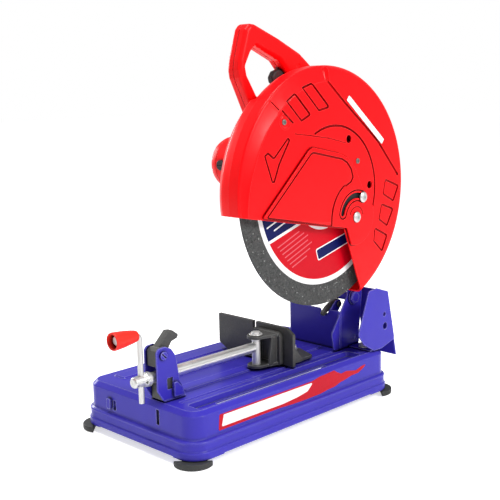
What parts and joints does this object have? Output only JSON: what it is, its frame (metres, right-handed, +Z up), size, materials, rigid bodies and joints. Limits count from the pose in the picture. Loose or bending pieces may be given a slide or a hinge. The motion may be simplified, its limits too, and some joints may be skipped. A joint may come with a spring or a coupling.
{
  "type": "abrasive chop saw",
  "caption": "Bench cut-off saw with a tilting abrasive-wheel head, red guard and D-handle, on a pressed blue base with a screw vise and angled fence.",
  "frame": {"origin": "on the floor plane, under the middle of the overall box with the head raised", "axes": "+X towards the wheel-cover side, +Y to the rear, +Z up"},
  "size_m": [0.267, 0.56, 0.597],
  "materials": {
    "blue_paint": "gloss powder coat",
    "red_paint": "gloss",
    "red_plastic": "gloss",
    "black_iron": "dark, oiled",
    "bright_steel": "turned",
    "cast_aluminium": "as cast",
    "black_rubber": "matt",
    "abrasive": "bonded grain",
    "copper": "machined",
    "grey_plastic": "satin"
  },
  "bodies": {
    "base": {"base_shell": "blue_paint", "foot_front_left": "black_rubber", "foot_front_right": "black_rubber", "foot_rear_left": "black_rubber", "foot_rear_right": "black_rubber", "pivot_bracket": "blue_paint", "pivot_bracket_bolt_left": "bright_steel", "pivot_bracket_bolt_right": "bright_steel", "pivot_shaft": "bright_steel", "lift_spring": "bright_steel", "spark_deflector": "blue_paint", "spark_deflector_bolt": "bright_steel", "vise_bracket": "blue_paint", "vise_bracket_bolt": "bright_steel", "lower_half_nut": "black_iron", "lever_pin": "bright_steel", "fence_pivot_bolt": "bright_steel", "fence_lock_bolt": "bright_steel"},
    "head": {"head_arm": "black_iron", "gear_housing": "cast_aluminium", "gearbox_cover": "cast_aluminium", "rear_bearing": "bright_steel", "front_bearing": "bright_steel", "motor_housing": "red_plastic", "motor_end_cap": "red_plastic", "brush_cap_front": "grey_plastic", "brush_cap_rear": "grey_plastic", "stator": "black_iron", "guard_body": "red_paint", "guard_cover": "red_paint", "guard_screw_front": "bright_steel", "guard_screw_rear": "bright_steel", "access_pivot_bolt": "bright_steel", "access_lock_bolt": "bright_steel", "handle_left": "red_plastic", "handle_right": "red_plastic", "switch_body": "grey_plastic", "power_cord": "black_rubber"},
    "wheel_group": {"spindle": "bright_steel", "inner_flange": "bright_steel", "abrasive_wheel": "abrasive", "outer_flange": "bright_steel", "wheel_bolt": "bright_steel", "spindle_gear": "bright_steel"},
    "armature_group": {"armature_shaft": "bright_steel", "armature_core": "bright_steel", "commutator": "copper"},
    "access_group": {"access_cover": "red_paint"},
    "trigger_group": {"trigger": "grey_plastic"},
    "button_group": {"lock_button": "grey_plastic"},
    "spindle_lock_group": {"spindle_lock_pin": "bright_steel"},
    "fence_group": {"fence": "black_iron"},
    "jaw_carriage": {"jaw_pin": "bright_steel"},
    "jaw_group": {"jaw": "black_iron"},
    "screw_group": {"vise_screw": "bright_steel", "crank_hub": "bright_steel", "crank_rod": "bright_steel"},
    "grip_group": {"crank_grip": "red_plastic"},
    "lever_group": {"half_nut_lever": "black_iron"},
    "hook_group": {"lock_hook": "black_iron"}
  },
  "joints": [
    {"name": "head_tilt", "type": "hinge", "parent": "base", "child": "head", "pos_m": [0, 0.199, 0.16], "axis": [1, 0, 0], "range_deg": [0, 37], "stiffness_Nm_per_rad": 20, "springref_deg": -34.38},
    {"name": "wheel_spin", "type": "hinge", "parent": "head", "child": "wheel_group", "pos_m": [0.094, 0.093, 0.349], "axis": [1, 0, 0], "continuous": true},
    {"name": "motor_spin", "type": "hinge", "parent": "head", "child": "armature_group", "pos_m": [-0.052, 0.0722, 0.38503], "axis": [1, 0, 0], "continuous": true},
    {"name": "access_cover_swing", "type": "hinge", "parent": "head", "child": "access_group", "pos_m": [0.1134, 0.1505, 0.303], "axis": [1, 0, 0], "range_deg": [-100, 0]},
    {"name": "trigger_pull", "type": "hinge", "parent": "head", "child": "trigger_group", "pos_m": [0.031, 0.08, 0.519], "axis": [1, 0, 0], "range_deg": [-12, 0]},
    {"name": "lock_button_press", "type": "slide", "parent": "head", "child": "button_group", "axis": [1, 0, 0], "range_m": [0, 0.003]},
    {"name": "spindle_lock_press", "type": "slide", "parent": "head", "child": "spindle_lock_group", "axis": [0, -1, 0], "range_m": [0, 0.004]},
    {"name": "fence_angle", "type": "hinge", "parent": "base", "child": "fence_group", "pos_m": [-0.055, 0.058, 0.079], "axis": [0, 0, 1], "range_deg": [0, 30]},
    {"name": "jaw_slide", "type": "slide", "parent": "base", "child": "jaw_carriage", "axis": [0, 1, 0], "range_m": [-0.12, 0]},
    {"name": "jaw_swivel", "type": "hinge", "parent": "jaw_carriage", "child": "jaw_group", "pos_m": [0.04, -0.001, 0.112], "axis": [0, 0, 1], "range_deg": [0, 30]},
    {"name": "screw_spin", "type": "hinge", "parent": "jaw_carriage", "child": "screw_group", "pos_m": [0.04, -0.226, 0.112], "axis": [0, 1, 0], "range_deg": [-8600, 0]},
    {"name": "grip_spin", "type": "hinge", "parent": "screw_group", "child": "grip_group", "pos_m": [0.04, -0.256, 0.177], "axis": [0, 1, 0], "continuous": true},
    {"name": "half_nut_release", "type": "hinge", "parent": "base", "child": "lever_group", "pos_m": [0.04, -0.1974, 0.1442], "axis": [1, 0, 0], "range_deg": [0, 55]},
    {"name": "lock_hook_swing", "type": "hinge", "parent": "base", "child": "hook_group", "pos_m": [0.04, 0.19, 0.146], "axis": [1, 0, 0], "range_deg": [-60, 0]}
  ],
  "couplings": [
    {"joint": "motor_spin", "follows": "wheel_spin", "ratio": -3.3333},
    {"joint": "jaw_slide", "follows": "screw_spin", "m_per_rad": 0.00079577},
    {"joint": "jaw_swivel", "follows": "fence_angle", "ratio": 1}
  ]
}
